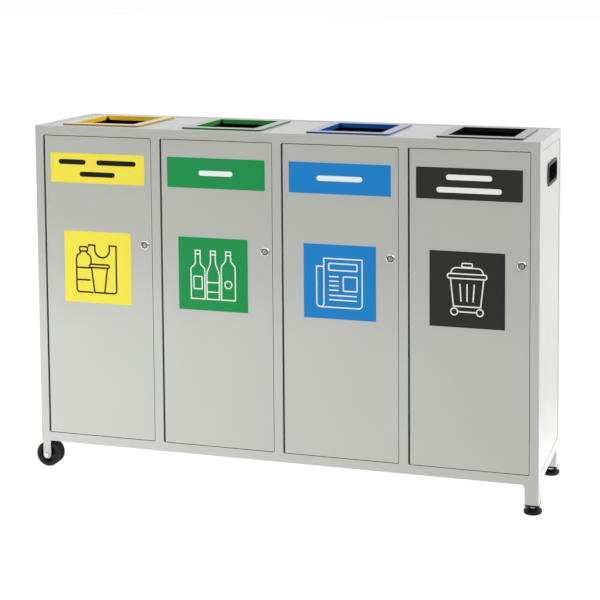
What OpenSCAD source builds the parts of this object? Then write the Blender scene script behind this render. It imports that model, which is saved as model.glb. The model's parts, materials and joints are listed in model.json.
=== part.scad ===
// Four-stream recycling bin station: a welded tube cabinet with four hinged doors,
// four coloured drop-in inlets on top, two castors at one end and two levelling feet
// at the other. Units are millimetres, +Z is up and the doors face -Y.
// The row origin is the bottom centre of the overall bounding box.

/* [Cabinet] */
// width of the tube cabinet, outside face to outside face
cabinet_width = 1420; // [1200:10:1700]
// depth of the tube cabinet, front face to rear face
cabinet_depth = 300; // [260:5:420]
// height of the top rails above the ground
cabinet_height = 965; // [850:5:1100]
// height of the underside of the bottom rails above the ground
base_height = 77; // [74:1:120]
// side of the square frame tube
tube = 25; // [20:1:30]
// wall thickness of the frame tube
tube_wall = 1.5; // [1.2:0.1:2.5]
// corner radius of the four upright outer edges
tube_radius = 3; // [1:0.5:4]
// corner radius of the four door openings
opening_radius = 4; // [1:0.5:6]
// number of waste streams, each with a door, an inlet and an inner bin
stream_count = 4; // [4:1:4]

/* [Infill panels] */
// sheet thickness of the side, rear and floor panels
panel_sheet = 1; // [0.8:0.1:3]
// sheet thickness of the top panel
top_sheet = 1.5; // [1:0.1:3]
// depth of the folded edge behind each panel
panel_fold = 12; // [8:1:20]
// visible seam between a panel and the tubes around it
panel_seam = 1.2; // [0.3:0.1:1.5]
// how far the panels sit below the outer face of the tubes
panel_sink = 0.5; // [0:0.1:1.5]
// sheet thickness of the partitions between the compartments
partition_sheet = 0.8; // [0.6:0.1:2]

/* [Doors] */
// sheet thickness of a door pan
door_sheet = 1.2; // [1:0.1:2]
// depth of a door pan from its front face to its open back
door_depth = 20; // [16:1:24]
// radius of a door's four corners, seen from the front
door_corner = 3; // [1:0.5:5]
// gap between the hinge edge of a door and the upright
hinge_gap = 3.2; // [2.5:0.1:4]
// gap between the lock edge of a door and the upright
lock_gap = 1.4; // [1.2:0.1:3]
// gap above and below a door
end_gap = 1.8; // [1:0.1:3]
// distance of the hinge pin axis from the door's front face and hinge edge
pin_inset = 5; // [5:0.5:7]
// radius of a hinge pin
pin_radius = 2.5; // [2:0.25:3]
// length of a hinge pin beyond the rail
pin_length = 11; // [9:1:16]
// outer radius of a hinge bush
bush_radius = 3.4; // [3.2:0.1:4.5]
// length of a hinge bush
bush_length = 8; // [5:1:12]
// radial running clearance of a turning fit
running_clearance = 0.05; // [0.02:0.01:0.1]

/* [Signs] */
// width of the blank title plate
title_width = 281; // [200:1:300]
// height of the blank title plate
title_height = 82; // [50:1:120]
// centre height of the title plate above the ground
title_level = 851; // [800:1:880]
// distance of the title plate from the hinge edge of its door
title_inset = 19; // [10:1:40]
// width of the symbol plate
symbol_width = 200; // [150:0.5:250]
// height of the symbol plate
symbol_height = 198.5; // [150:0.5:250]
// centre height of the symbol plate above the ground
symbol_level = 577; // [500:1:650]
// distance of each symbol plate from the hinge edge of its door
symbol_insets = [56, 49, 59, 55];
// thickness of the self-adhesive plates
sign_sheet = 0.4; // [0.2:0.1:1]

/* [Locks] */
// distance of the lock axis from the lock edge of its door
lock_inset = 20.6; // [18:0.1:30]
// height of the lock axis above the ground
lock_level = 647; // [550:1:720]
// radius of the lock bezel
bezel_radius = 12.5; // [11:0.5:15]
// how far the bezel stands out of the door
bezel_height = 3; // [1.5:0.5:5]
// radius of the lock barrel
barrel_radius = 9.5; // [8:0.5:10.5]
// radius of the turning plug
plug_radius = 6.5; // [5:0.5:7.5]
// length of the cam from the plug axis to its tip
cam_length = 32; // [28:0.5:34]
// width of the cam
cam_width = 16; // [12:1:20]
// thickness of the cam
cam_thickness = 3; // [2:0.5:4]

/* [Inlets] */
// distance between neighbouring inlets
inlet_pitch = 358; // [340:1:365]
// sideways shift of the inlet row from the cabinet's centre
inlet_shift = 3; // [-10:1:10]
// shift of the inlet row towards the rear (negative is forward)
inlet_setback = -2; // [-10:1:10]
// outer width of an inlet trim
trim_width = 232; // [200:1:260]
// outer depth of an inlet trim
trim_depth = 224; // [180:1:240]
// width of the mouth
mouth_width = 176; // [140:1:200]
// depth of the mouth
mouth_depth = 170; // [120:1:180]
// thickness of the trim flange
trim_thickness = 3.5; // [2:0.5:6]
// corner radius of the trim flange
trim_radius = 12; // [4:1:25]
// depth of the flaps folded down into the mouth
flap_depth = 9; // [6:1:40]
// how much a flap narrows towards each lower corner
flap_taper = 9.5; // [0:0.5:20]
// thickness of the flaps
flap_sheet = 2; // [1:0.5:3]

/* [Inner bins] */
// wall thickness of an inner bin
bin_sheet = 1.2; // [0.8:0.1:3]
// height of an inner bin
bin_height = 830; // [500:5:832]
// clearance beside the bin on the hinge side, for the opened door
bin_hinge_clearance = 26; // [20:1:40]
// clearance beside the bin on the lock side
bin_lock_clearance = 8; // [4:1:20]
// front face of the bin behind the cabinet's front face
bin_setback = 34; // [30:1:60]
// depth of an inner bin
bin_depth = 226; // [150:1:230]
// length of a hand slot in the bin
bin_slot_length = 110; // [80:5:140]
// height of a hand slot in the bin
bin_slot_height = 28; // [20:1:40]

/* [Recessed handle] */
// length of the handle flange along the depth of the cabinet
handle_length = 133; // [100:1:160]
// height of the handle flange
handle_height = 62; // [45:1:80]
// corner radius of the handle flange
handle_radius = 18; // [8:1:25]
// width of the handle flange around the pocket
handle_rim = 9; // [6:0.5:15]
// thickness of the handle flange
handle_flange = 2.5; // [1.5:0.5:4]
// depth of the finger pocket
handle_pocket = 30; // [20:1:45]
// wall thickness of the finger pocket
handle_wall = 2; // [1.5:0.5:3]
// distance of the handle's centre behind the cabinet's centre
handle_setback = 14; // [-30:1:30]
// centre height of the handle above the ground
handle_level = 865.5; // [750:0.5:900]

/* [Castors] */
// wheel diameter over the tyre
wheel_diameter = 70; // [60:1:80]
// width of the tyre
wheel_width = 29; // [20:1:32]
// distance of the wheel axle inside the cabinet's end face
wheel_inset = 15.5; // [10:0.5:30]
// distance of the fork's outer face behind the cabinet's front or rear face
fork_setback = 1; // [0:0.5:6]
// width of the fork strip
fork_width = 22; // [18:1:35]
// thickness of the fork strip
fork_sheet = 3; // [2:0.5:5]
// gap between the tyre and each fork plate
wheel_side_gap = 2; // [1:0.5:4]
// radius of the wheel hub
hub_radius = 25; // [20:0.5:27]
// radius of the axle bolt
axle_radius = 4; // [3:0.5:5]
// width across the flats of the axle bolt head and nut
axle_flats = 13; // [10:1:17]

/* [Feet] */
// side of the square leg tube
leg_tube = 38; // [30:1:40]
// wall thickness of the leg tube
leg_wall = 2; // [1.5:0.5:3]
// height of the lower end of the leg tube above the ground
leg_bottom = 25; // [22:0.5:40]
// radius of the gusset between leg and rail
gusset_radius = 8; // [4:1:15]
// thickness of the plastic cap's flange below the leg
cap_flange = 5; // [2:0.5:6]
// depth of the cap's plug inside the leg
cap_plug = 18; // [12:1:30]
// diameter of the foot pad
pad_diameter = 48; // [35:1:60]
// height of the pad's cylindrical rim
pad_rim = 6; // [4:0.5:8]
// full height of the pad
pad_height = 12.5; // [12:0.5:16]
// radius of the pad's neck
pad_neck_radius = 10; // [8:0.5:14]
// nominal radius of the threaded stem
stem_radius = 5; // [4:0.5:6]
// width across the flats of the stem's hexagon
stem_flats = 17; // [13:1:19]
// height of the top of the stem above the ground
stem_top = 66; // [50:1:70]

/* [Hidden] */
half_width = cabinet_width / 2;
half_depth = cabinet_depth / 2;
front_face = -half_depth;
rail_top = base_height + tube;
opening_top = cabinet_height - tube;
opening_width = (cabinet_width - (stream_count + 1) * tube) / stream_count;
opening_pitch = opening_width + tube;
opening_height = opening_top - rail_top;
door_width = opening_width - hinge_gap - lock_gap;
door_height = opening_height - 2 * end_gap;
door_bottom = rail_top + end_gap;
door_back = front_face + door_depth;
pin_y = front_face + pin_inset;
bore_radius = pin_radius + running_clearance;
inner_width = cabinet_width - 2 * tube - 2 * panel_seam;
inner_depth = cabinet_depth - 2 * tube - 2 * panel_seam;
inner_height = opening_height - 2 * panel_seam;
top_face = cabinet_height - panel_sink;
mouth_y = inlet_setback;
aperture_margin = 2;
lock_y = front_face - bezel_height;
barrel_length = 18;
barrel_recess = 1.5;
recess_radius = 8.8;
lock_hole_clearance = 0.1;
lock_nut_flats = 24;
lock_nut_height = 4;
slot_width = 1.8;
slot_length = 8;
slot_depth = 3;
cam_front = front_face + tube + 1;
cam_screw_radius = 4;
cam_screw_height = 3;
wheel_radius = wheel_diameter / 2;
wheel_x = -half_width + wheel_inset;
fork_outer = half_depth - fork_setback;
wheel_outer = fork_outer - fork_sheet - wheel_side_gap;
wheel_inner = wheel_outer - wheel_width;
fork_inner = wheel_inner - wheel_side_gap - fork_sheet;
hub_overhang = 1.5;
hub_recess = 9;
hub_recess_radius = 22.5;
hub_boss_radius = 10;
tread_groove_width = 2.4;
tread_groove_depth = 1.6;
tread_groove_pitch = 5.5;
tread_groove_count = 4;
bolt_head_height = 5.3;
nut_height = 6.5;
leg_x = half_width - leg_tube / 2;
leg_y = half_depth - leg_tube / 2;
plug_clearance = 0.3;
pad_radius = pad_diameter / 2;
ball_radius = 4;
ball_bottom = 6;
hexagon_gap = 0.2;
stop_width = 30;
stop_inset = 35;
stop_height = 14;
stop_sheet = 2;
stop_gap = 0.5;
partition_rear = half_depth - panel_sink - panel_fold - 1;
bin_bottom = rail_top;
slot_drop = 60;
left_reach = wheel_radius - wheel_inset;
right_reach = pad_radius - leg_tube / 2;
origin_shift = (left_reach - right_reach) / 2;
eps = 0.01;
hexagon = 6;
round = 64;
arc_facets = 24;

body_grey = [0.74, 0.75, 0.73];
yellow = [0.95, 0.79, 0.09];
green = [0.10, 0.57, 0.29];
blue = [0.07, 0.45, 0.77];
charcoal = [0.16, 0.16, 0.16];
black = [0.06, 0.06, 0.06];
rubber = [0.09, 0.09, 0.09];
zinc = [0.78, 0.79, 0.80];
chrome = [0.85, 0.86, 0.88];
galvanised = [0.66, 0.69, 0.71];
nylon = [0.20, 0.20, 0.21];

function opening_left(i) = -half_width + tube + i * opening_pitch;
function door_left(i) = opening_left(i) + hinge_gap;
function door_right(i) = door_left(i) + door_width;
function pin_x(i) = door_left(i) + pin_inset;
function lock_x(i) = door_right(i) - lock_inset;
function inlet_x(i) = inlet_shift + (i - (stream_count - 1) / 2) * inlet_pitch;
function mullion_x(i) = opening_left(i) - tube / 2;
function across_corners(flats) = flats / 2 / cos(30);

// ---------- shared shapes ----------

module placed() {
  translate([origin_shift, 0, 0]) children();
}

module box(x0, x1, y0, y1, z0, z1) {
  translate([x0, y0, z0]) cube([x1 - x0, y1 - y0, z1 - z0]);
}

module rounded_sketch(w, h, r) {
  square([w - 2 * r, h], center = true);
  square([w, h - 2 * r], center = true);
  for (sx = [-1, 1], sy = [-1, 1])
    translate([sx * (w / 2 - r), sy * (h / 2 - r)])
      circle(r = r, $fn = round);
}

// sketch X runs along X, sketch Y along Z, thickness runs from y to y + t
module facing_front(x, y, z, t) {
  translate([x, y + t, z]) rotate([90, 0, 0]) linear_extrude(t) children();
}

// sketch X runs along Y, sketch Y along Z, thickness runs from x to x + t
module facing_side(x, y, z, t) {
  translate([x, y, z]) rotate([90, 0, 90]) linear_extrude(t) children();
}

module disc(x, y0, y1, z, r) {
  translate([x, y1, z]) rotate([90, 0, 0])
    cylinder(r = r, h = y1 - y0, $fn = round);
}

// shallow tray: face at z = 0, folds run down to -panel_fold
module tray(w, d, t) {
  difference() {
    box(-w / 2, w / 2, -d / 2, d / 2, -panel_fold, 0);
    box(-w / 2 + t, w / 2 - t, -d / 2 + t, d / 2 - t, -panel_fold - eps, -t);
  }
}

// ---------- welded frame ----------

module frame_bars(inset) {
  for (side = [-1, 1]) {
    // front and rear rails
    for (z = [base_height, opening_top])
      box(-half_width + inset, half_width - inset,
          side * (half_depth - tube / 2) - tube / 2 + inset,
          side * (half_depth - tube / 2) + tube / 2 - inset,
          z + inset, z + tube - inset);
    // end rails
    for (z = [base_height, opening_top])
      box(side * (half_width - tube / 2) - tube / 2 + inset,
          side * (half_width - tube / 2) + tube / 2 - inset,
          -half_depth + inset, half_depth - inset,
          z + inset, z + tube - inset);
    // rear corner posts
    box(side * (half_width - tube / 2) - tube / 2 + inset,
        side * (half_width - tube / 2) + tube / 2 - inset,
        half_depth - tube + inset, half_depth - inset,
        base_height + inset, cabinet_height - inset);
  }
  // front posts and mullions
  for (i = [0 : stream_count])
    box(mullion_x(i) - tube / 2 + inset, mullion_x(i) + tube / 2 - inset,
        front_face + inset, front_face + tube - inset,
        base_height + inset, cabinet_height - inset);
}

module opening_corners() {
  for (i = [0 : stream_count - 1])
    facing_front(opening_left(i) + opening_width / 2, front_face,
                 rail_top + opening_height / 2, tube)
      difference() {
        square([opening_width, opening_height], center = true);
        rounded_sketch(opening_width, opening_height, opening_radius);
      }
}

module tube_frame() color(body_grey) placed() {
  difference() {
    intersection() {
      union() {
        frame_bars(0);
        opening_corners();
      }
      linear_extrude(cabinet_height)
        rounded_sketch(cabinet_width, cabinet_depth, tube_radius);
    }
    frame_bars(tube_wall);
  }
}

module leg(side) {
  inner_x = half_width - leg_tube;
  difference() {
    translate([leg_x, side * leg_y, leg_bottom])
      linear_extrude(base_height - leg_bottom)
        rounded_sketch(leg_tube, leg_tube, tube_radius);
    translate([leg_x, side * leg_y, leg_bottom - eps])
      linear_extrude(base_height - leg_bottom - leg_wall)
        square(leg_tube - 2 * leg_wall, center = true);
  }
  facing_front(inner_x, side * (half_depth - tube / 2) - tube / 2, base_height, tube)
    difference() {
      translate([-gusset_radius, -gusset_radius]) square(gusset_radius + 1);
      translate([-gusset_radius, -gusset_radius])
        circle(r = gusset_radius, $fn = round);
      translate([-gusset_radius, 0]) square(gusset_radius + 2);
    }
}

module legs() color(body_grey) placed() {
  for (side = [-1, 1]) leg(side);
}

module leg_caps() color(black) placed() {
  plug = leg_tube - 2 * leg_wall - 2 * plug_clearance;
  for (side = [-1, 1])
    translate([leg_x, side * leg_y, leg_bottom - cap_flange])
      difference() {
        union() {
          linear_extrude(cap_flange) rounded_sketch(leg_tube, leg_tube, tube_radius);
          linear_extrude(cap_flange + cap_plug) square(plug, center = true);
        }
        translate([0, 0, -eps])
          cylinder(r = stem_radius + running_clearance,
                   h = cap_flange + cap_plug + 2 * eps, $fn = round);
      }
}

// ---------- infill panels ----------

module top_panel() color(body_grey) placed() {
  difference() {
    translate([0, 0, top_face]) tray(inner_width, inner_depth, top_sheet);
    for (i = [0 : stream_count - 1])
      box(inlet_x(i) - mouth_width / 2 - flap_sheet - aperture_margin,
          inlet_x(i) + mouth_width / 2 + flap_sheet + aperture_margin,
          mouth_y - mouth_depth / 2 - flap_sheet - aperture_margin,
          mouth_y + mouth_depth / 2 + flap_sheet + aperture_margin,
          top_face - top_sheet - eps, top_face + eps);
  }
}

module floor_panel() color(galvanised) placed() {
  translate([0, 0, rail_top]) tray(inner_width, inner_depth, panel_sheet);
}

module side_tray(side) {
  translate([side * (half_width - panel_sink), 0, rail_top + opening_height / 2])
    rotate([0, side * 90, 0]) tray(inner_height, inner_depth, panel_sheet);
}

module side_panel_left() color(body_grey) placed() {
  side_tray(-1);
}

module side_panel_right() color(body_grey) placed() {
  difference() {
    side_tray(1);
    facing_side(half_width - panel_sink - panel_sheet - eps, handle_setback,
                handle_level, panel_sheet + 2 * eps)
      rounded_sketch(handle_length - 2 * handle_rim + 2 * handle_wall + 1,
                     handle_height - 2 * handle_rim + 2 * handle_wall + 1,
                     handle_radius - handle_rim + handle_wall);
  }
}

module back_panel() color(body_grey) placed() {
  translate([0, half_depth - panel_sink, rail_top + opening_height / 2])
    rotate([-90, 0, 0]) tray(inner_width, inner_height, panel_sheet);
}

module partitions() color(galvanised) placed() {
  for (i = [1 : stream_count - 1])
    box(mullion_x(i) - partition_sheet / 2, mullion_x(i) + partition_sheet / 2,
        front_face + tube, partition_rear, rail_top, opening_top);
}

module recessed_handle() color(black) placed() {
  pocket_length = handle_length - 2 * handle_rim;
  pocket_height = handle_height - 2 * handle_rim;
  pocket_radius = handle_radius - handle_rim;
  face = half_width - panel_sink;
  difference() {
    union() {
      facing_side(face, handle_setback, handle_level, handle_flange)
        rounded_sketch(handle_length, handle_height, handle_radius);
      facing_side(face - handle_pocket, handle_setback, handle_level, handle_pocket)
        rounded_sketch(pocket_length + 2 * handle_wall, pocket_height + 2 * handle_wall,
                       pocket_radius + handle_wall);
    }
    facing_side(face - handle_pocket + handle_wall, handle_setback, handle_level,
                handle_pocket + handle_flange)
      rounded_sketch(pocket_length, pocket_height, pocket_radius);
  }
}

// ---------- castors ----------

module fork_plate_sketch() {
  difference() {
    union() {
      circle(d = fork_width, $fn = round);
      translate([-fork_width / 2, 0])
        square([fork_width, base_height - wheel_radius]);
    }
    circle(r = axle_radius + lock_hole_clearance, $fn = round);
  }
}

module castor_fork(side) {
  outer_plate = side > 0 ? fork_outer - fork_sheet : -fork_outer;
  inner_plate = side > 0 ? fork_inner : -fork_inner - fork_sheet;
  web_start = side > 0 ? fork_inner : -fork_outer;
  for (y = [outer_plate, inner_plate])
    facing_front(wheel_x, y, wheel_radius, fork_sheet) fork_plate_sketch();
  box(wheel_x - fork_width / 2, wheel_x + fork_width / 2,
      web_start, web_start + fork_outer - fork_inner,
      base_height - fork_sheet, base_height);
}

module castor_forks() color(body_grey) placed() {
  for (side = [-1, 1]) castor_fork(side);
}

module tyre(side) {
  mid = side * (wheel_outer + wheel_inner) / 2;
  translate([wheel_x, mid, wheel_radius]) rotate([90, 0, 0])
    difference() {
      cylinder(r = wheel_radius, h = wheel_width, center = true, $fn = round);
      cylinder(r = hub_radius, h = wheel_width + 1, center = true, $fn = round);
      for (k = [0 : tread_groove_count - 1])
        translate([0, 0, (k - (tread_groove_count - 1) / 2) * tread_groove_pitch])
          difference() {
            cylinder(r = wheel_radius + 1, h = tread_groove_width, center = true,
                     $fn = round);
            cylinder(r = wheel_radius - tread_groove_depth, h = tread_groove_width + 1,
                     center = true, $fn = round);
          }
    }
}

module wheel_hub(side) {
  mid = side * (wheel_outer + wheel_inner) / 2;
  hub_width = wheel_width + 2 * hub_overhang;
  translate([wheel_x, mid, wheel_radius]) rotate([90, 0, 0])
    difference() {
      union() {
        cylinder(r = hub_radius, h = wheel_width - 2, center = true, $fn = round);
        cylinder(r = hub_boss_radius, h = hub_width, center = true, $fn = round);
      }
      cylinder(r = axle_radius + running_clearance, h = hub_width + 1, center = true,
               $fn = round);
      for (face = [-1, 1])
        translate([0, 0, face * (wheel_width / 2 - 1 - hub_recess / 2 + eps)])
          difference() {
            cylinder(r = hub_recess_radius, h = hub_recess, center = true, $fn = round);
            cylinder(r = hub_boss_radius, h = hub_recess + 1, center = true,
                     $fn = round);
          }
    }
}

module front_tyre() color(rubber) placed() tyre(-1);
module rear_tyre() color(rubber) placed() tyre(1);
module front_wheel_hub() color(black) placed() wheel_hub(-1);
module rear_wheel_hub() color(black) placed() wheel_hub(1);

module axle_bolts() color(zinc) placed() {
  head_radius = across_corners(axle_flats);
  for (side = [-1, 1])
    translate([wheel_x, side * fork_outer, wheel_radius]) rotate([side * 90, 0, 0]) {
      translate([0, 0, -bolt_head_height])
        cylinder(r = head_radius, h = bolt_head_height, $fn = hexagon);
      cylinder(r = axle_radius, h = fork_outer - fork_inner + nut_height + 2,
               $fn = round);
    }
}

module axle_nuts() color(zinc) placed() {
  nut_radius = across_corners(axle_flats);
  for (side = [-1, 1])
    translate([wheel_x, side * fork_inner, wheel_radius]) rotate([side * 90, 0, 0])
      difference() {
        cylinder(r = nut_radius, h = nut_height, $fn = hexagon);
        translate([0, 0, -1])
          cylinder(r = axle_radius + lock_hole_clearance, h = nut_height + 2,
                   $fn = round);
      }
}

// ---------- levelling feet ----------

module foot_pad(side) {
  translate([leg_x, side * leg_y, 0])
    difference() {
      union() {
        cylinder(r = pad_radius, h = pad_rim, $fn = round);
        translate([0, 0, pad_rim])
          cylinder(r1 = pad_radius, r2 = pad_neck_radius, h = pad_height - pad_rim,
                   $fn = round);
      }
      translate([0, 0, ball_bottom])
        cylinder(r = ball_radius + running_clearance, h = pad_height, $fn = round);
    }
}

module foot_stem(side) {
  hexagon_top = leg_bottom - cap_flange - hexagon_gap;
  translate([leg_x, side * leg_y, 0]) {
    translate([0, 0, ball_bottom + hexagon_gap])
      cylinder(r = ball_radius, h = pad_height - ball_bottom, $fn = round);
    translate([0, 0, pad_height + hexagon_gap])
      cylinder(r = across_corners(stem_flats),
               h = hexagon_top - pad_height - hexagon_gap, $fn = hexagon);
    translate([0, 0, pad_height + hexagon_gap])
      cylinder(r = stem_radius, h = stem_top - pad_height - hexagon_gap, $fn = round);
  }
}

module front_foot_pad() color(black) placed() foot_pad(-1);
module rear_foot_pad() color(black) placed() foot_pad(1);
module front_foot_stem() color(zinc) placed() foot_stem(-1);
module rear_foot_stem() color(zinc) placed() foot_stem(1);

// ---------- inlets ----------

module flap_sketch(w) {
  polygon([[-w / 2, 0], [w / 2, 0],
           [w / 2 - flap_taper, -flap_depth], [-w / 2 + flap_taper, -flap_depth]]);
}

module inlet_trim(i) {
  translate([inlet_x(i), mouth_y, top_face]) {
    difference() {
      linear_extrude(trim_thickness)
        rounded_sketch(trim_width, trim_depth, trim_radius);
      translate([0, 0, -1])
        linear_extrude(trim_thickness + 2)
          square([mouth_width, mouth_depth], center = true);
    }
    for (side = [-1, 1]) {
      facing_front(0, side * (mouth_depth + flap_sheet) / 2 - flap_sheet / 2, 0,
                   flap_sheet)
        flap_sketch(mouth_width);
      facing_side(side * (mouth_width + flap_sheet) / 2 - flap_sheet / 2, 0, 0,
                  flap_sheet)
        flap_sketch(mouth_depth);
    }
  }
}

module yellow_inlet_trim() color(yellow) placed() inlet_trim(0);
module green_inlet_trim() color(green) placed() inlet_trim(1);
module blue_inlet_trim() color(blue) placed() inlet_trim(2);
module black_inlet_trim() color(charcoal) placed() inlet_trim(3);

// ---------- inner bins ----------

module inner_bin(i) {
  x0 = opening_left(i) + bin_hinge_clearance;
  x1 = opening_left(i) + opening_width - bin_lock_clearance;
  y0 = front_face + bin_setback;
  y1 = y0 + bin_depth;
  difference() {
    box(x0, x1, y0, y1, bin_bottom, bin_bottom + bin_height);
    box(x0 + bin_sheet, x1 - bin_sheet, y0 + bin_sheet, y1 - bin_sheet,
        bin_bottom + bin_sheet, bin_bottom + bin_height + 1);
    facing_front((x0 + x1) / 2, y0 - 1, bin_bottom + bin_height - slot_drop,
                 bin_depth + 2)
      rounded_sketch(bin_slot_length, bin_slot_height, bin_slot_height / 2 - eps);
  }
}

module yellow_inner_bin() color(galvanised) placed() inner_bin(0);
module green_inner_bin() color(galvanised) placed() inner_bin(1);
module blue_inner_bin() color(galvanised) placed() inner_bin(2);
module black_inner_bin() color(galvanised) placed() inner_bin(3);

// ---------- doors ----------

// plan of the door about its pin axis: the hinge edge is rounded about the pin
module door_plan(inset, back) {
  r = pin_inset - inset;
  right = door_width - pin_inset - inset;
  circle(r = r, $fn = round);
  translate([-r, 0]) square([right + r, back]);
  translate([0, -r]) square([right, back + r]);
}

module door(i) {
  depth_behind_pin = door_depth - pin_inset;
  difference() {
    intersection() {
      translate([pin_x(i), pin_y, door_bottom])
        linear_extrude(door_height) door_plan(0, depth_behind_pin);
      facing_front(door_left(i) + door_width / 2, front_face,
                   door_bottom + door_height / 2, door_depth)
        rounded_sketch(door_width, door_height, door_corner);
    }
    translate([pin_x(i), pin_y, door_bottom + door_sheet])
      linear_extrude(door_height - 2 * door_sheet)
        door_plan(door_sheet, depth_behind_pin + 1);
    translate([pin_x(i), pin_y, door_bottom - 1])
      cylinder(r = bush_radius, h = door_height + 2, $fn = round);
    disc(lock_x(i), front_face - 1, front_face + door_sheet + 1, lock_level,
         barrel_radius + lock_hole_clearance);
  }
}

module yellow_door() color(body_grey) placed() door(0);
module green_door() color(body_grey) placed() door(1);
module blue_door() color(body_grey) placed() door(2);
module black_door() color(body_grey) placed() door(3);

module hinge_bush_pair(i) {
  for (z = [door_bottom, door_bottom + door_height - bush_length])
    translate([pin_x(i), pin_y, z])
      difference() {
        cylinder(r = bush_radius, h = bush_length, $fn = round);
        translate([0, 0, -1])
          cylinder(r = bore_radius, h = bush_length + 2, $fn = round);
      }
}

module yellow_hinge_bushes() color(nylon) placed() hinge_bush_pair(0);
module green_hinge_bushes() color(nylon) placed() hinge_bush_pair(1);
module blue_hinge_bushes() color(nylon) placed() hinge_bush_pair(2);
module black_hinge_bushes() color(nylon) placed() hinge_bush_pair(3);

module hinge_pins() color(zinc) placed() {
  for (i = [0 : stream_count - 1], z = [rail_top, opening_top - pin_length])
    translate([pin_x(i), pin_y, z])
      cylinder(r = pin_radius, h = pin_length, $fn = round);
}

module door_stops() color(body_grey) placed() {
  for (i = [0 : stream_count - 1], z = [rail_top, opening_top - stop_height])
    box(door_right(i) - stop_inset - stop_width, door_right(i) - stop_inset,
        door_back + stop_gap, door_back + stop_gap + stop_sheet,
        z, z + stop_height);
}

// ---------- signs ----------

module title_plate(i) {
  facing_front(door_left(i) + title_inset + title_width / 2, front_face - sign_sheet,
               title_level, sign_sheet)
    square([title_width, title_height], center = true);
}

module symbol_plate(i) {
  facing_front(door_left(i) + symbol_insets[i] + symbol_width / 2,
               front_face - sign_sheet, symbol_level, sign_sheet)
    square([symbol_width, symbol_height], center = true);
}

module yellow_title_plate() color(yellow) placed() title_plate(0);
module green_title_plate() color(green) placed() title_plate(1);
module blue_title_plate() color(blue) placed() title_plate(2);
module black_title_plate() color(charcoal) placed() title_plate(3);
module yellow_symbol_plate() color(yellow) placed() symbol_plate(0);
module green_symbol_plate() color(green) placed() symbol_plate(1);
module blue_symbol_plate() color(blue) placed() symbol_plate(2);
module black_symbol_plate() color(charcoal) placed() symbol_plate(3);

// ---------- cam locks ----------

// half of the domed bezel, from its axis to its rim
module bezel_profile() {
  square([bezel_radius - bezel_height, bezel_height]);
  translate([bezel_radius - bezel_height, 0])
    intersection() {
      circle(r = bezel_height, $fn = arc_facets);
      square(bezel_height);
    }
}

module lock_body(i) {
  x = lock_x(i);
  z = lock_level;
  nut_back = front_face + door_sheet + lock_nut_height;
  difference() {
    union() {
      translate([x, front_face, z]) rotate([90, 0, 0])
        rotate_extrude($fn = round) bezel_profile();
      disc(x, front_face - eps, front_face + barrel_length, z, barrel_radius);
      translate([x, nut_back, z]) rotate([90, 0, 0])
        cylinder(r = across_corners(lock_nut_flats), h = lock_nut_height,
                 $fn = hexagon);
    }
    disc(x, lock_y - 1, front_face + barrel_length + 1, z,
         plug_radius + running_clearance);
    disc(x, lock_y - 1, lock_y + barrel_recess, z, recess_radius);
  }
}

module lock_plug(i) {
  difference() {
    disc(lock_x(i), lock_y + 0.5, cam_front, lock_level, plug_radius);
    box(lock_x(i) - slot_width / 2, lock_x(i) + slot_width / 2,
        lock_y, lock_y + 0.5 + slot_depth,
        lock_level - slot_length / 2, lock_level + slot_length / 2);
  }
}

// the cam points down when the door is free to open
module lock_cam(i) {
  reach = cam_length - cam_width / 2;
  facing_front(lock_x(i), cam_front, lock_level, cam_thickness) {
    circle(d = cam_width, $fn = round);
    translate([-cam_width / 2, -reach]) square([cam_width, reach]);
    translate([0, -reach]) circle(d = cam_width, $fn = round);
  }
  disc(lock_x(i), cam_front + cam_thickness - eps,
       cam_front + cam_thickness + cam_screw_height, lock_level, cam_screw_radius);
}

module yellow_lock_body() color(chrome) placed() lock_body(0);
module green_lock_body() color(chrome) placed() lock_body(1);
module blue_lock_body() color(chrome) placed() lock_body(2);
module black_lock_body() color(chrome) placed() lock_body(3);
module yellow_lock_plug() color(chrome) placed() lock_plug(0);
module green_lock_plug() color(chrome) placed() lock_plug(1);
module blue_lock_plug() color(chrome) placed() lock_plug(2);
module black_lock_plug() color(chrome) placed() lock_plug(3);
module yellow_lock_cam() color(zinc) placed() lock_cam(0);
module green_lock_cam() color(zinc) placed() lock_cam(1);
module blue_lock_cam() color(zinc) placed() lock_cam(2);
module black_lock_cam() color(zinc) placed() lock_cam(3);

// ---------- selection ----------

tube_frame();
legs();
leg_caps();
castor_forks();
top_panel();
side_panel_left();
side_panel_right();
back_panel();
floor_panel();
partitions();
recessed_handle();
hinge_pins();
door_stops();
axle_bolts();
axle_nuts();
front_tyre();
front_wheel_hub();
rear_tyre();
rear_wheel_hub();
front_foot_pad();
front_foot_stem();
rear_foot_pad();
rear_foot_stem();
yellow_inlet_trim();
green_inlet_trim();
blue_inlet_trim();
black_inlet_trim();
yellow_inner_bin();
green_inner_bin();
blue_inner_bin();
black_inner_bin();
yellow_door();
green_door();
blue_door();
black_door();
yellow_title_plate();
green_title_plate();
blue_title_plate();
black_title_plate();
yellow_symbol_plate();
green_symbol_plate();
blue_symbol_plate();
black_symbol_plate();
yellow_lock_body();
green_lock_body();
blue_lock_body();
black_lock_body();
yellow_lock_plug();
green_lock_plug();
blue_lock_plug();
black_lock_plug();
yellow_lock_cam();
green_lock_cam();
blue_lock_cam();
black_lock_cam();
yellow_hinge_bushes();
green_hinge_bushes();
blue_hinge_bushes();
black_hinge_bushes();
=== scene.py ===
import json
import math

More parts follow.
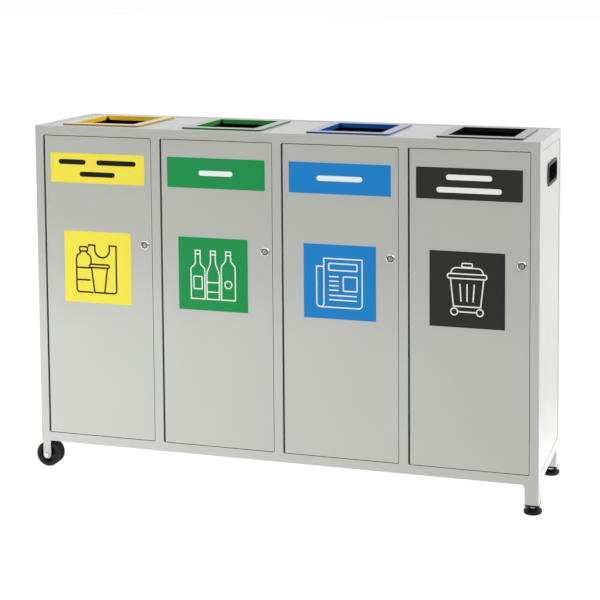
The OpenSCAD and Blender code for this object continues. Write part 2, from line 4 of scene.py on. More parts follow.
import bpy
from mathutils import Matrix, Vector


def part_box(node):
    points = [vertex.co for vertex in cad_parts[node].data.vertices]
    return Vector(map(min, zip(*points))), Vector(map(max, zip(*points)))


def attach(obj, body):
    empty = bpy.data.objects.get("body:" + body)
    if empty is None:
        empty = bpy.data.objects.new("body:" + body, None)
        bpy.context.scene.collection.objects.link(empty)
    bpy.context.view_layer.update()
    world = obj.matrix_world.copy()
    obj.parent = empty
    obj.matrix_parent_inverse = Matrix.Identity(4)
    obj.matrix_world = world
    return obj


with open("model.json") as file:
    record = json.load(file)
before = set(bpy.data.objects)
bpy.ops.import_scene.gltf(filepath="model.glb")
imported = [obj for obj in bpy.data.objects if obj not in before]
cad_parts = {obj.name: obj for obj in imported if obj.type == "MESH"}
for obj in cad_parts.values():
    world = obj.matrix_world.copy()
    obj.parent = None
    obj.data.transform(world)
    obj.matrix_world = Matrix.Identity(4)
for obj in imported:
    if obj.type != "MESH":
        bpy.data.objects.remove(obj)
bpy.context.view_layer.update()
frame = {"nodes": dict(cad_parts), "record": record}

MM = 0.001
STREAMS = ("yellow", "green", "blue", "black")


# ---------------------------------------------------------------- node helpers

def add_node(tree, kind, inputs=None, **settings):
    """A shader node with its settings and its unlinked inputs filled in."""
    made = tree.nodes.new(kind)
    for name, value in settings.items():
        setattr(made, name, value)
    for name, value in (inputs or {}).items():
        made.inputs[name].default_value = value
    return made


def new_material(name):
    """A material with its tree, its Principled shader and its object coordinates."""
    material = bpy.data.materials.new(name)
    material.use_nodes = True
    tree = material.node_tree
    shader = tree.nodes["Principled BSDF"]
    place = add_node(tree, "ShaderNodeTexCoord").outputs["Object"]
    return material, tree, shader, place


def arithmetic(tree, operation, *values):
    """A math node on sockets and numbers."""
    made = add_node(tree, "ShaderNodeMath", operation=operation)
    for socket, value in zip(made.inputs, values):
        if isinstance(value, (int, float)):
            socket.default_value = value
        else:
            tree.links.new(value, socket)
    return made.outputs[0]


def noise(tree, place, scale, detail=3.0, roughness=0.5):
    made = add_node(tree, "ShaderNodeTexNoise",
                    {"Scale": scale, "Detail": detail, "Roughness": roughness})
    tree.links.new(place, made.inputs["Vector"])
    return made.outputs["Fac"]


def stretched(tree, place, scale):
    """Coordinates stretched along an axis, for grain that runs one way."""
    made = add_node(tree, "ShaderNodeMapping", {"Scale": scale})
    tree.links.new(place, made.inputs["Vector"])
    return made.outputs["Vector"]


def spread(tree, value, low, high):
    """Maps a 0 to 1 pattern, which sits mostly around 0.5, onto low to high."""
    made = add_node(tree, "ShaderNodeMapRange",
                    {"From Min": 0.3, "From Max": 0.7, "To Min": low, "To Max": high})
    tree.links.new(value, made.inputs["Value"])
    return made.outputs["Result"]


def mottled(tree, shader, pattern, dark, light):
    """Base colour between two close colours, following a pattern."""
    mix = add_node(tree, "ShaderNodeMix", data_type="RGBA")
    tree.links.new(spread(tree, pattern, 0.0, 1.0), mix.inputs["Factor"])
    mix.inputs["A"].default_value = (*dark, 1.0)
    mix.inputs["B"].default_value = (*light, 1.0)
    tree.links.new(mix.outputs["Result"], shader.inputs["Base Color"])


def bump(tree, shader, height, strength, distance):
    made = add_node(tree, "ShaderNodeBump", {"Strength": strength, "Distance": distance})
    tree.links.new(height, made.inputs["Height"])
    tree.links.new(made.outputs["Normal"], shader.inputs["Normal"])


def shaded_gaps(tree, shader, reach, enclosed, free, depth, shine="Coat Weight", full=1.0):
    """Darkens the colour and one kind of shine in narrow gaps, where hardly any light gets."""
    near = add_node(tree, "ShaderNodeAmbientOcclusion", {"Distance": reach}, samples=8)
    open_air = add_node(tree, "ShaderNodeMapRange",
                        {"From Min": enclosed, "From Max": free, "To Min": depth, "To Max": 1.0})
    tree.links.new(near.outputs["AO"], open_air.inputs["Value"])
    colour = shader.inputs["Base Color"]
    source = colour.links[0].from_socket
    mix = add_node(tree, "ShaderNodeMix", data_type="RGBA", blend_type="MULTIPLY")
    mix.inputs["Factor"].default_value = 1.0
    tree.links.new(source, mix.inputs["A"])
    tree.links.new(open_air.outputs["Result"], mix.inputs["B"])
    tree.links.new(mix.outputs["Result"], colour)
    tree.links.new(arithmetic(tree, "MULTIPLY", open_air.outputs["Result"], full),
                   shader.inputs[shine])


def scaled(colour, factor):
    return tuple(min(1.0, channel * factor) for channel in colour)


# ------------------------------------------------------------------- materials

def powder_coat(name, colour):
    """Satin powder coat: orange-peel ripple, faint mottling, thin clear skin."""
    material, tree, shader, place = new_material(name)
    mottled(tree, shader, noise(tree, place, 5.0), scaled(colour, 0.985), scaled(colour, 1.015))
    gloss = spread(tree, noise(tree, place, 14.0), 0.28, 0.34)
    tree.links.new(gloss, shader.inputs["Roughness"])
    shader.inputs["Metallic"].default_value = 0.10
    shaded_gaps(tree, shader, 14 * MM, 0.18, 0.62, 0.05)
    shader.inputs["Coat Roughness"].default_value = 0.14
    bump(tree, shader, noise(tree, place, 420.0, 2.0), 0.04, 0.2 * MM)
    return material


def moulded_gloss(name, colour, roughness=0.16):
    """Glossy coloured sheet or moulding with a barely wavy surface."""
    material, tree, shader, place = new_material(name)
    mottled(tree, shader, noise(tree, place, 30.0), scaled(colour, 0.94), scaled(colour, 1.04))
    gloss = spread(tree, noise(tree, place, 60.0), roughness, roughness + 0.06)
    tree.links.new(gloss, shader.inputs["Roughness"])
    shaded_gaps(tree, shader, 14 * MM, 0.45, 0.85, 0.12)
    shader.inputs["Coat Roughness"].default_value = 0.05
    bump(tree, shader, noise(tree, place, 260.0, 2.0), 0.03, 0.2 * MM)
    return material


def printed_film(name, colour):
    """Matt self-adhesive film with a very fine print grain."""
    material, tree, shader, place = new_material(name)
    mottled(tree, shader, noise(tree, place, 900.0, 2.0), scaled(colour, 0.95), scaled(colour, 1.05))
    gloss = spread(tree, noise(tree, place, 40.0), 0.42, 0.5)
    tree.links.new(gloss, shader.inputs["Roughness"])
    shader.inputs["Specular IOR Level"].default_value = 0.16
    bump(tree, shader, noise(tree, place, 700.0, 1.0), 0.03, 0.1 * MM)
    return material


def grained_plastic(name, colour, roughness=0.5):
    """Black moulding with a fine spark-eroded grain."""
    material, tree, shader, place = new_material(name)
    mottled(tree, shader, noise(tree, place, 50.0), scaled(colour, 0.85), scaled(colour, 1.2))
    gloss = spread(tree, noise(tree, place, 90.0), roughness - 0.06, roughness + 0.06)
    tree.links.new(gloss, shader.inputs["Roughness"])
    shaded_gaps(tree, shader, 10 * MM, 0.4, 0.85, 0.1, "Specular IOR Level", 0.34)
    bump(tree, shader, noise(tree, place, 1800.0, 2.0), 0.25, 0.15 * MM)
    return material


def tyre_rubber(name, colour):
    """Matt rubber, a little dusty."""
    material, tree, shader, place = new_material(name)
    mottled(tree, shader, noise(tree, place, 70.0, 6.0), colour, scaled(colour, 1.8))
    gloss = spread(tree, noise(tree, place, 120.0), 0.42, 0.56)
    tree.links.new(gloss, shader.inputs["Roughness"])
    shader.inputs["Specular IOR Level"].default_value = 0.22
    bump(tree, shader, noise(tree, place, 1100.0, 4.0), 0.35, 0.25 * MM)
    return material


def plated_metal(name, colour, low, high, grain):
    """Plated metal: roughness and tint vary along a fine drawn grain."""
    material, tree, shader, place = new_material(name)
    drawn = noise(tree, stretched(tree, place, grain), 90.0, 5.0)
    mottled(tree, shader, drawn, scaled(colour, 0.9), scaled(colour, 1.05))
    tree.links.new(spread(tree, drawn, low, high), shader.inputs["Roughness"])
    shader.inputs["Metallic"].default_value = 1.0
    bump(tree, shader, drawn, 0.05, 0.1 * MM)
    return material


def spangled_zinc(name, colour):
    """Galvanised sheet: zinc flowers that differ in shade and in gloss."""
    material, tree, shader, place = new_material(name)
    flowers = add_node(tree, "ShaderNodeTexVoronoi", {"Scale": 110.0, "Randomness": 1.0})
    tree.links.new(place, flowers.inputs["Vector"])
    shade = add_node(tree, "ShaderNodeSeparateColor")
    tree.links.new(flowers.outputs["Color"], shade.inputs["Color"])
    mottled(tree, shader, shade.outputs["Red"], scaled(colour, 0.86), scaled(colour, 1.06))
    gloss = spread(tree, shade.outputs["Green"], 0.34, 0.5)
    tree.links.new(gloss, shader.inputs["Roughness"])
    shader.inputs["Metallic"].default_value = 0.9
    bump(tree, shader, flowers.outputs["Distance"], 0.04, 0.1 * MM)
    return material


def shade_bag_film(name, colour):
    """Thin black refuse-bag film, creased and slightly shiny; its black is partly its own colour and
    partly painted shade for the dark inside of the cabinet.
    """
    material, tree, shader, place = new_material(name)
    creases = noise(tree, stretched(tree, place, (1.0, 1.0, 0.35)), 45.0, 8.0, 0.65)
    mottled(tree, shader, creases, colour, scaled(colour, 1.8))
    tree.links.new(spread(tree, creases, 0.25, 0.42), shader.inputs["Roughness"])
    bump(tree, shader, creases, 0.8, 3.0 * MM)
    return material


MATERIALS = {
    "body_grey": powder_coat("body_grey", (0.52, 0.53, 0.50)),
    "yellow_stream": printed_film("yellow_stream", (0.88, 0.77, 0.07)),
    "green_stream": printed_film("green_stream", (0.012, 0.29, 0.075)),
    "blue_stream": printed_film("blue_stream", (0.012, 0.22, 0.60)),
    "black_stream": printed_film("black_stream", (0.028, 0.028, 0.027)),
    "yellow_inlet": moulded_gloss("yellow_inlet", (0.80, 0.50, 0.01)),
    "green_inlet": moulded_gloss("green_inlet", (0.02, 0.22, 0.04)),
    "blue_inlet": moulded_gloss("blue_inlet", (0.004, 0.075, 0.33)),
    "black_inlet": moulded_gloss("black_inlet", (0.008, 0.008, 0.008)),
    "black_plastic": grained_plastic("black_plastic", (0.006, 0.006, 0.006), 0.36),
    "nylon": grained_plastic("nylon", (0.04, 0.04, 0.042)),
    "rubber": tyre_rubber("rubber", (0.006, 0.006, 0.006)),
    "chrome": plated_metal("chrome", (0.92, 0.93, 0.94), 0.14, 0.26, (1.0, 6.0, 1.0)),
    "zinc": plated_metal("zinc", (0.72, 0.74, 0.76), 0.22, 0.38, (1.0, 1.0, 5.0)),
    "galvanised": spangled_zinc("galvanised", (0.62, 0.65, 0.67)),
    # black bag film: partly the bag's own colour, partly painted shade for the dark inside of the bins
    "bag": shade_bag_film("bag", (0.010, 0.010, 0.011)),
    "dark_ink": printed_film("dark_ink", (0.010, 0.010, 0.010)),
    "white_ink": printed_film("white_ink", (0.86, 0.87, 0.86)),
}


# ----------------------------------------------------------------- added pieces

def add_piece(name, corners, faces, material, body):
    """A new mesh, in the row frame, that rides one of the bodies."""
    mesh = bpy.data.meshes.new(name)
    mesh.from_pydata(corners, [], faces)
    mesh.materials.append(MATERIALS[material])
    piece = bpy.data.objects.new(name, mesh)
    bpy.context.scene.collection.objects.link(piece)
    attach(piece, body)
    return piece


# ------------------------------------------------------- finish on the CAD nodes

# edge rounding of each kind of node, in millimetres
EDGE_ROUNDING = {
    "tube_frame": 1.6, "legs": 1.6, "door": 1.3, "inlet_trim": 1.1,
    "top_panel": 0.6, "side_panel_left": 0.6, "side_panel_right": 0.6, "back_panel": 0.6,
    "recessed_handle": 1.2, "leg_caps": 0.8, "foot_pad": 1.2, "foot_stem": 0.6,
    "tyre": 1.5, "wheel_hub": 0.8, "axle_bolts": 0.6, "axle_nuts": 0.5,
    "lock_body": 0.6, "lock_plug": 0.35, "lock_cam": 0.5, "door_stops": 0.5,
    "inner_bin": 0.3, "floor_panel": 0.5, "hinge_pins": 0.4, "hinge_bushes": 0.4,
}


def rounding_of(node_name):
    for ending, width in EDGE_ROUNDING.items():
        if node_name.endswith(ending):
            return width * MM
    return 0.0


def soften(piece, width):
    """Rounds the sharp edges and shades the flats flat, by modifiers only."""
    with bpy.context.temp_override(object=piece, active_object=piece):
        bpy.ops.mesh.customdata_custom_splitnormals_clear()
    piece.data.polygons.foreach_set("use_smooth", [True] * len(piece.data.polygons))
    weld = piece.modifiers.new("weld", "WELD")
    weld.merge_threshold = 0.01 * MM
    bevel = piece.modifiers.new("edge_rounding", "BEVEL")
    bevel.width = width
    bevel.segments = 2
    bevel.limit_method = "ANGLE"
    bevel.angle_limit = math.radians(35)
    bevel.use_clamp_overlap = True
    piece.modifiers.new("flat_faces", "WEIGHTED_NORMAL").keep_sharp = True


def dress_cad_nodes():
    for entry in frame["record"]["subparts"]:
        piece = frame["nodes"][entry["node"]]
        piece.data.materials.clear()
        piece.data.materials.append(MATERIALS[entry["material_slot"]])
        width = rounding_of(entry["node"])
        if width:
            soften(piece, width)


# ---------------------------------------------------------------- printed marks

LINE_WIDTH = 3.3
BOLD_LINE = 4.6
INK_HEIGHT = 0.1
INK_STEP = 0.002        # each stroke lies this much higher than the one before
CAP_STEPS = 6


def arc(cx, cz, radius, start, end, steps=10):
    """Points on an arc, angles in degrees, anticlockwise from the +X side."""
    return [(cx + radius * math.cos(math.radians(start + (end - start) * k / steps)),
             cz + radius * math.sin(math.radians(start + (end - start) * k / steps)))
            for k in range(steps + 1)]


def rounded_box(cx, cz, width, height, radius):
    """A closed outline of a rectangle with round corners."""
    right, top = width / 2 - radius, height / 2 - radius
    outline = []
    for sx, sz, start in ((1, 1, 0), (-1, 1, 90), (-1, -1, 180), (1, -1, 270)):
        outline += arc(cx + sx * right, cz + sz * top, radius, start, start + 90, 5)
    return outline + outline[:1]


def mirrored(points):
    """The same line on the other side of x = 0, run backwards."""
    return [(-x, z) for x, z in reversed(points)]


def moved(points, dx):
    return [(x + dx, z) for x, z in points]


def corner_offset(before, here, after, half):
    """Where the two edges of a line of a certain half width run past one of its points."""
    sides = []
    for start, end in ((before, here), (here, after)):
        if start != end:
            along = Vector(end) - Vector(start)
            sides.append(Vector((along.y, -along.x)).normalized())
    middle = sides[0] + sides[-1]
    return middle * 2 * half / max(middle.length_squared, 0.8)


class Print:
    """Ink marks, in millimetres from the middle of a plate, each a thin flat ribbon."""

    def __init__(self, line_width=LINE_WIDTH):
        self.ribbons = []
        self.line_width = line_width

    def stroke(self, points, width=None):
        """A line of constant width: closed if it ends where it starts, else with round ends."""
        width = width or self.line_width
        points = [p for k, p in enumerate(points) if k == 0 or math.dist(p, points[k - 1]) > 1e-6]
        closed = math.dist(points[0], points[-1]) < 1e-6
        if closed:
            points = points[:-1]
        last = len(points) - 1
        right, left = [], []
        for k, here in enumerate(points):
            before = points[k - 1] if k or closed else here
            after = points[(k + 1) % len(points)] if k < last or closed else here
            offset = corner_offset(before, here, after, width / 2)
            right.append((here[0] + offset.x, here[1] + offset.y))
            left.append((here[0] - offset.x, here[1] - offset.y))
        if closed:
            self.ribbons.append((right, left))
            return
        ends = []
        for here, edge in ((points[last], right[last]), (points[0], left[0])):
            start = math.degrees(math.atan2(edge[1] - here[1], edge[0] - here[0]))
            ends.append(arc(*here, width / 2, start, start + 180, CAP_STEPS)[1:-1])
        self.ribbons.append((right + ends[0] + left[::-1] + ends[1],))

    def make(self, name, plate, body, ink):
        """Puts the marks on the front of a plate and lets them ride its body."""
        low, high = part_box(plate)
        middle = (low + high) / 2
        corners, faces = [], []
        for number, loops in enumerate(self.ribbons):
            count = len(loops[0])
            # front of each loop, then its back: starts of the runs of corners
            starts = [len(corners) + k * count for k in range(2 * len(loops))]
            for lift in (INK_HEIGHT + number * INK_STEP, 0.0):
                for loop in loops:
                    corners += [(middle.x + x * MM, low.y - lift * MM, middle.z + z * MM)
                                for x, z in loop]
            front, back = starts[:len(loops)], starts[len(loops):]
            if len(loops) == 1:
                faces.append(tuple(range(front[0], front[0] + count)))
                faces.append(tuple(range(back[0], back[0] + count))[::-1])
                bands = ((back[0], front[0]),)
            else:
                bands = ((front[0], front[1]), (front[1], back[1]),
                         (back[1], back[0]), (back[0], front[0]))
            for one, other in bands:
                faces += [(one + k, one + (k + 1) % count, other + (k + 1) % count, other + k)
                          for k in range(count)]
        add_piece(name, corners, faces, ink, body)


def packaging_symbol():
    """A drinks bottle, a beaker and a carrier bag, in bolder lines than the other symbols."""
    mark = Print(BOLD_LINE)
    # bottle: cap, round shoulders, body with two lines
    mark.stroke(rounded_box(-42, 50, 24, 12, 3))
    mark.stroke([(-50, 44)] + arc(-48, 22, 16, 110, 180, 6) + arc(-56, -62, 8, 180, 270, 5)
                + [(-16, -70)])
    mark.stroke([(-34, 44)] + arc(-36, 22, 16, 70, 0, 6) + [(-20, 10)])
    for level in (-2, -36):
        mark.stroke([(-64, level), (-24, level)])
    # beaker
    mark.stroke(rounded_box(5, 4, 60, 9, 4.5))
    mark.stroke([(-19, -1), (-10, -70), (20, -70), (29, -1)])
    # carrier bag: two straps and a round neckline
    mark.stroke([(-26, 58), (-26, 62), (-8, 62), (-8, 50)] + arc(14, 50, 22, 180, 360, 12)
                + [(36, 62), (56, 62)] + arc(48, -62, 8, 0, -90, 5) + [(20, -70)])
    return mark


def bottle(mark, middle, half, shoulder, neck_bottom):
    """One bottle outline: straight body, curved shoulder, narrow neck."""
    neck, bottom, top = 7, -68, 64
    bend = [(neck + (half - neck) * (1 + math.cos(math.pi * k / 8)) / 2,
             shoulder + (neck_bottom - shoulder) * k / 8) for k in range(9)]
    right = [(half, bottom)] + bend + [(neck, top)]
    outline = right + mirrored(right) + right[:1]
    mark.stroke(moved(outline, middle))
    mark.stroke([(middle - neck, top - 10), (middle + neck, top - 10)])


def glass_symbol():
    """Three bottles, each with another label."""
    mark = Print()
    bottle(mark, -44, 20, 12, 30)
    bottle(mark, 0, 18, -2, 36)
    bottle(mark, 44, 20, 20, 42)
    mark.stroke(rounded_box(-44, -24, 24, 34, 2))
    for level in (-22, -48):
        mark.stroke([(-18, level), (18, level)])
    mark.stroke(arc(44, -26, 10, 0, 360, 20))
    return mark


def paper_symbol():
    """A newspaper with a second page behind it."""
    mark = Print()
    mark.stroke([(-44, 62), (62, 62)] + arc(52, -58, 10, 0, -90, 5) + [(-54, -68)]
                + arc(-54, -58, 10, 270, 180, 5) + [(-64, 40), (-44, 40)])
    mark.stroke([(-44, 62)] + arc(-54, -58, 10, 0, -90, 5))
    # heading, picture and two blocks of lines
    mark.stroke(rounded_box(9, 40, 78, 18, 2))
    mark.stroke(rounded_box(29, -4, 38, 38, 2))
    for level in (14, 2, -10, -22):
        mark.stroke([(-28, level), (-4, level)])
    for level in (-36, -48):
        mark.stroke([(-28, level), (46, level)])
    return mark


def mixed_waste_symbol():
    """A wheeled bin with a domed lid."""
    mark = Print()
    mark.stroke(rounded_box(0, 64, 28, 10, 4))
    mark.stroke([(-44, 42)] + arc(-28, 42, 15, 180, 90, 6) + arc(28, 42, 15, 90, 0, 6) + [(44, 42)])
    mark.stroke(rounded_box(0, 35, 104, 12, 5))
    mark.stroke([(-44, 28), (-36, -44), (36, -44), (44, 28)])
    for side in (-1, 0, 1):
        mark.stroke([(side * 19, 14), (side * 16, -30)])
    mark.stroke([(-26, -58), (26, -58)])
    for side in (-1, 1):
        mark.stroke(arc(side * 34, -58, 9, 0, 360, 18))
    return mark


SYMBOLS = {"yellow": packaging_symbol, "green": glass_symbol,
           "blue": paper_symbol, "black": mixed_waste_symbol}
INKS = {"yellow": "dark_ink", "green": "white_ink", "blue": "white_ink", "black": "white_ink"}
# rows of plain bars where a station would carry its stream's name, lengths in millimetres
TITLE_BARS = {"yellow": ((82, 10, 118), (106,)), "green": ((98,),),
              "blue": ((126,),), "black": ((122,), (172,))}
BAR_HEIGHT = 14
BAR_GAP = 11
ROW_PITCH = 33


def title_marks(rows):
    mark = Print()
    for k, row in enumerate(rows):
        level = ((len(rows) - 1) / 2 - k) * ROW_PITCH
        start = -(sum(row) + BAR_GAP * (len(row) - 1)) / 2
        for length in row:
            inner = min(length / 2, BAR_HEIGHT / 2)
            mark.stroke([(start + inner, level), (start + length - inner, level)], 2 * inner)
            start += length + BAR_GAP
    return mark


def print_plates():
    for stream in STREAMS:
        body = f"{stream}_door_leaf"
        SYMBOLS[stream]().make(f"{stream}_symbol_print", f"{stream}_symbol_plate", body, INKS[stream])
        title_marks(TITLE_BARS[stream]).make(f"{stream}_title_print", f"{stream}_title_plate",
                                             body, INKS[stream])


# --------------------------------------------------------------- refuse bags, partly painted shade

CUFF = 36 * MM          # how far a bag hangs over the outside of its bin
RIM_RISE = 19 * MM      # how far the folded bag stands up above the bin's rim
INSIDE_GAP = 6 * MM
OUTSIDE_GAP = 3 * MM
CORNER_SLACK = 1 * MM   # the film isn't pulled quite into the corners of the bin
FLOOR_GAP = 8 * MM      # between the bag's bottom and the bin's
AROUND = 120            # points round the bag
DOWN = 26               # rings from the bin's rim to the bag's bottom
SQUARENESS = 14         # power of the superellipse that each ring follows


def ring(low, high, gap, level, ripple, phase):
    """Points round a rectangle moved outwards by gap, with soft creases."""
    width, depth = high.x - low.x, high.y - low.y
    points = []
    for k in range(AROUND):
        turn = 2 * math.pi * k / AROUND
        c, s = math.cos(turn), math.sin(turn)
        reach = (abs(c) ** SQUARENESS + abs(s) ** SQUARENESS) ** (-1 / SQUARENESS)
        crease = ripple * (math.sin(11 * turn + phase) + 0.6 * math.sin(23 * turn - 1.7 * phase))
        points.append(((low.x + high.x) / 2 + c * (reach * (width / 2 + gap - CORNER_SLACK) + crease),
                       (low.y + high.y) / 2 + s * (reach * (depth / 2 + gap - CORNER_SLACK) + crease),
                       level))
    return points


def refuse_bag_as_shade(stream):
    """A bag that lines one bin and folds over its rim: partly a real liner, partly a black sheet of
    painted shade that darkens the inside of the cabinet.
    """
    low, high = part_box(f"{stream}_inner_bin")
    rim = high.z + RIM_RISE
    inside_top = high.z - 3 * MM
    # gap, level, depth of the creases and their phase: up the outside, over the rim and in
    hoops = [(OUTSIDE_GAP, high.z - CUFF, 0.8 * MM, 0.4),
             (OUTSIDE_GAP, high.z - CUFF / 2, 0.6 * MM, 0.9),
             (OUTSIDE_GAP, high.z + 1 * MM, 0.3 * MM, 1.2),
             (OUTSIDE_GAP / 2, rim - 3 * MM, 0.5 * MM, 1.3),
             (0.0, rim, 0.4 * MM, 1.4),
             (-OUTSIDE_GAP, rim - 3 * MM, 0.5 * MM, 1.5),
             (-INSIDE_GAP, inside_top, 0.8 * MM, 1.6)]
    # then down the inside, with deeper and deeper creases
    for k in range(1, DOWN + 1):
        share = k / DOWN
        hoops.append((-INSIDE_GAP - 4 * MM * share,
                      inside_top + (low.z + FLOOR_GAP - inside_top) * share,
                      (1.0 + 1.4 * share) * MM, 1.6 + 5.0 * share))
    rings = [ring(low, high, *hoop) for hoop in hoops]
    corners = [point for line in rings for point in line]
    faces = []
    for r in range(len(rings) - 1):
        for k in range(AROUND):
            after = (k + 1) % AROUND
            faces.append((r * AROUND + k, r * AROUND + after,
                          (r + 1) * AROUND + after, (r + 1) * AROUND + k))
    faces.append(tuple(range(len(corners) - AROUND, len(corners)))[::-1])
    # the bag's black is partly painted shade, darkening the inside of the cabinet
    bag = add_piece(f"{stream}_refuse_bag_as_shade", corners, faces, "bag", "cabinet")
    bag.data.polygons.foreach_set("use_smooth", [True] * len(faces))


# ------------------------------------------------------------------ small parts

def washer(name, centre, inner, outer, thickness, body, material):
    """A flat ring facing the front."""
    steps = 48
    corners, faces = [], []
    for depth in (0.0, thickness):
        for radius in (inner, outer):
            for k in range(steps):
                turn = 2 * math.pi * k / steps
                corners.append((centre.x + radius * math.cos(turn), centre.y + depth,
                                centre.z + radius * math.sin(turn)))
    for k in range(steps):
        after = (k + 1) % steps
        faces += [(k, after, steps + after, steps + k),
                  (2 * steps + after, 2 * steps + k, 3 * steps + k, 3 * steps + after),
                  (steps + k, steps + after, 3 * steps + after, 3 * steps + k),
                  (after, k, 2 * steps + k, 2 * steps + after)]
    add_piece(name, corners, faces, material, body)


SEAL_DEPTH = 1.1 * MM           # from the front of the bezel to the front of the seal
SEAL_THICKNESS = 0.38 * MM
SEAL_CLEARANCE = 0.15 * MM      # between the plug and the seal
SEAL_WIDTH = 2 * MM


def lock_seals():
    """The dark seal in the recess of each lock bezel."""
    for stream in STREAMS:
        low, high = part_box(f"{stream}_lock_plug")
        bezel_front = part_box(f"{stream}_lock_body")[0].y
        inner = (high.x - low.x) / 2 + SEAL_CLEARANCE
        centre = Vector(((low.x + high.x) / 2, bezel_front + SEAL_DEPTH, (low.z + high.z) / 2))
        washer(f"{stream}_lock_seal", centre, inner, inner + SEAL_WIDTH, SEAL_THICKNESS,
               f"{stream}_door_leaf", "black_plastic")


# ------------------------------------------------------------ studio and camera

CAMERA_PLACE = (1.30115, -3.2512, 1.4006)
CAMERA_TURN = (85.8775, -0.2161, 12.5959)   # degrees about X, Y and Z
LENS = 75.8651
LENS_SHIFT = (-0.3321, -0.4006)          # the picture is an off-centre crop


# what the studio shows to everything but the camera, which sees plain white:
# smooth patches of sky, each between two limits of the view direction's X, Y and Z
SKY_PATCHES = (
    # strength, colour,           X limits,     Y limits,     Z limits (1 at the second value)
    (0.72, (1.00, 1.00, 1.02), None, (0.3, 0.8), (0.45, 0.15)),      # white wall behind
    (1.70, (1.00, 1.01, 0.95), None, (-0.1, -0.8), (0.15, 0.45)),    # front, high
    (0.57, (1.00, 1.00, 1.00), (-0.1, -0.8), None, (0.15, 0.45)),    # left, high
    (3.05, (1.00, 1.00, 1.00), (0.1, 0.8), None, (0.15, 0.45)),      # right, high
)
FLOOR_ALBEDO = 0.2
FLOOR_WHITE = 0.92                      # glow that keeps the floor white in the picture
# the floor also glows, for all but the camera, as if lamps lit it from above;
# each pair of limits is where the glow begins and where it is full
FLOOR_LIT = (0.31, 1.32)                # in front: at the right, and what the left has on top
FLOOR_LEFT = (1.2, -2.6)                # X limits of the left part
FLOOR_FRONT = (-2.7, -1.3)              # Y limits of the front part, from both sides
FLOOR_BACK = (1.0, 0.0)
FLOOR_REAR_GLOW = (0.53, 0.25)          # behind, where the end panel mirrors it; near the object
FLOOR_REAR = (-0.3, 0.3)                # Y limits of the rear part
FLOOR_REAR_NEAR = (0.5, 0.1)            # and of the extra glow near the object


def faded(tree, value, limits):
    """Rises smoothly from 0 to 1 as value goes from the first limit to the second."""
    start, end = limits
    made = add_node(tree, "ShaderNodeMapRange",
                    {"From Min": min(limits), "From Max": max(limits),
                     "To Min": float(start > end), "To Max": float(start < end)},
                    interpolation_type="SMOOTHSTEP")
    tree.links.new(value, made.inputs["Value"])
    return made.outputs["Result"]


def sky_patch(tree, axes, strength, colour, limits):
    """The colour of one patch of sky."""
    share = strength
    for axis, pair in zip(axes, limits):
        if pair:
            share = arithmetic(tree, "MULTIPLY", share, faded(tree, axis, pair))
    made = add_node(tree, "ShaderNodeVectorMath", operation="SCALE")
    made.inputs[0].default_value = colour
    tree.links.new(share, made.inputs["Scale"])
    return made.outputs["Vector"]


def sky():
    world = bpy.data.worlds.new("studio")
    bpy.context.scene.world = world
    world.use_nodes = True
    tree = world.node_tree
    direction = add_node(tree, "ShaderNodeTexCoord").outputs["Generated"]
    split = add_node(tree, "ShaderNodeSeparateXYZ")
    tree.links.new(direction, split.inputs[0])
    total = None
    for strength, colour, *limits in SKY_PATCHES:
        patch = sky_patch(tree, split.outputs, strength, colour, limits)
        if total:
            both = add_node(tree, "ShaderNodeVectorMath", operation="ADD")
            tree.links.new(total, both.inputs[0])
            tree.links.new(patch, both.inputs[1])
            patch = both.outputs["Vector"]
        total = patch
    seen = add_node(tree, "ShaderNodeMix", data_type="RGBA")
    tree.links.new(add_node(tree, "ShaderNodeLightPath").outputs["Is Camera Ray"], seen.inputs["Factor"])
    tree.links.new(total, seen.inputs["A"])
    seen.inputs["B"].default_value = (0.98, 0.98, 0.98, 1.0)
    background = tree.nodes["Background"]
    background.inputs["Strength"].default_value = 1.0
    tree.links.new(seen.outputs["Result"], background.inputs["Color"])


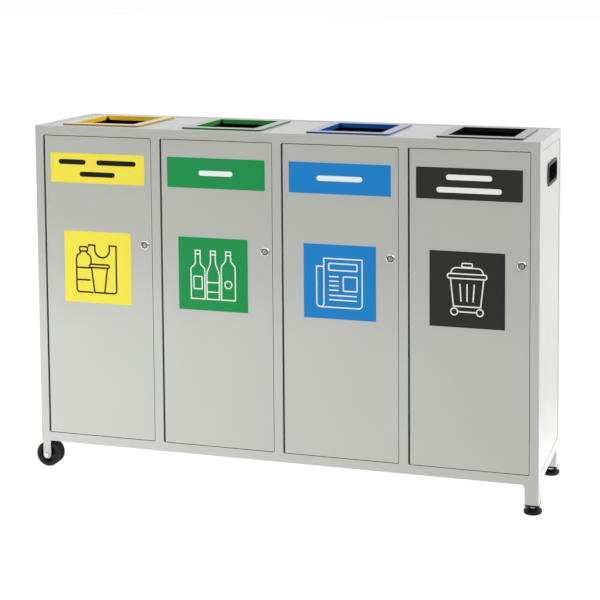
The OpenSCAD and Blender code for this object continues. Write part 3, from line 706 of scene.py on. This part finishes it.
def studio_floor():
    """A plain pale floor; its lit part, in front of the object, throws light upwards."""
    bpy.ops.mesh.primitive_plane_add(size=60, location=(0, 0, 0))
    floor = bpy.context.object
    floor.name = "studio_floor"
    material, tree, shader, place = new_material("studio_floor")
    shader.inputs["Base Color"].default_value = (FLOOR_ALBEDO, FLOOR_ALBEDO, FLOOR_ALBEDO, 1.0)
    shader.inputs["Roughness"].default_value = 1.0
    shader.inputs["Specular IOR Level"].default_value = 0.0
    split = add_node(tree, "ShaderNodeSeparateXYZ")
    tree.links.new(place, split.inputs[0])
    left = arithmetic(tree, "MULTIPLY", faded(tree, split.outputs["X"], FLOOR_LEFT), FLOOR_LIT[1])
    lit = arithmetic(tree, "ADD", left, FLOOR_LIT[0])
    for limits in (FLOOR_FRONT, FLOOR_BACK):
        lit = arithmetic(tree, "MULTIPLY", lit, faded(tree, split.outputs["Y"], limits))
    near = arithmetic(tree, "MULTIPLY", faded(tree, split.outputs["Y"], FLOOR_REAR_NEAR),
                      FLOOR_REAR_GLOW[1])
    rear = arithmetic(tree, "ADD", near, FLOOR_REAR_GLOW[0])
    rear = arithmetic(tree, "MULTIPLY", rear, faded(tree, split.outputs["Y"], FLOOR_REAR))
    lit = arithmetic(tree, "ADD", lit, rear)
    seen = add_node(tree, "ShaderNodeMix", data_type="FLOAT")
    tree.links.new(add_node(tree, "ShaderNodeLightPath").outputs["Is Camera Ray"], seen.inputs["Factor"])
    tree.links.new(lit, seen.inputs["A"])
    seen.inputs["B"].default_value = FLOOR_WHITE
    shader.inputs["Emission Color"].default_value = (1.0, 1.0, 1.0, 1.0)
    tree.links.new(seen.outputs["Result"], shader.inputs["Emission Strength"])
    floor.data.materials.append(material)


def soft_light(name, place, target, size, power, reflected=True):
    """A rectangular lamp that the camera doesn't see, in reflections or only as light."""
    light = bpy.data.lights.new(name, "AREA")
    light.shape = "RECTANGLE"
    light.size, light.size_y = size
    light.energy = power
    lamp = bpy.data.objects.new(name, light)
    lamp.location = place
    lamp.rotation_euler = (Vector(target) - Vector(place)).to_track_quat("-Z", "Y").to_euler()
    lamp.visible_camera = False
    lamp.visible_glossy = reflected
    bpy.context.scene.collection.objects.link(lamp)


def studio():
    sky()
    studio_floor()
    soft_light("left_light", (-3.2, -2.6, 2.2), (0, 0, 0.5), (2.5, 2.5), 6.0)
    soft_light("right_light", (3.4, 0.2, 1.3), (0.7, 0, 0.5), (2.2, 2.2), 40.0, False)
    # stands lower than the top of the object, so it lights only the rear
    soft_light("rear_light", (-0.6, 3.0, 0.45), (-0.2, 0, 0.45), (2.4, 0.8), 34.0, False)


def shift_driver(camera, axis, value):
    """The lens shift holds only while the camera stands at its own place."""
    curve = camera.data.driver_add(f"shift_{axis}")
    driver = curve.driver
    driver.type = "SCRIPTED"
    variable = driver.variables.new()
    variable.name = "x"
    variable.type = "SINGLE_PROP"
    variable.targets[0].id = camera
    variable.targets[0].data_path = "location[0]"
    driver.expression = f"{value} if abs(x - {CAMERA_PLACE[0]}) < 0.001 else 0.0"


def camera():
    data = bpy.data.cameras.new("camera")
    data.lens = LENS
    data.sensor_width = 36
    data.clip_end = 100
    made = bpy.data.objects.new("camera", data)
    made.location = CAMERA_PLACE
    made.rotation_euler = [math.radians(turn) for turn in CAMERA_TURN]
    bpy.context.scene.collection.objects.link(made)
    bpy.context.scene.camera = made
    shift_driver(made, "x", LENS_SHIFT[0])
    shift_driver(made, "y", LENS_SHIFT[1])


def colours():
    view = bpy.context.scene.view_settings
    view.view_transform = "Standard"
    view.look = "None"


dress_cad_nodes()
print_plates()
for stream in STREAMS:
    refuse_bag_as_shade(stream)
lock_seals()
studio()
camera()
colours()
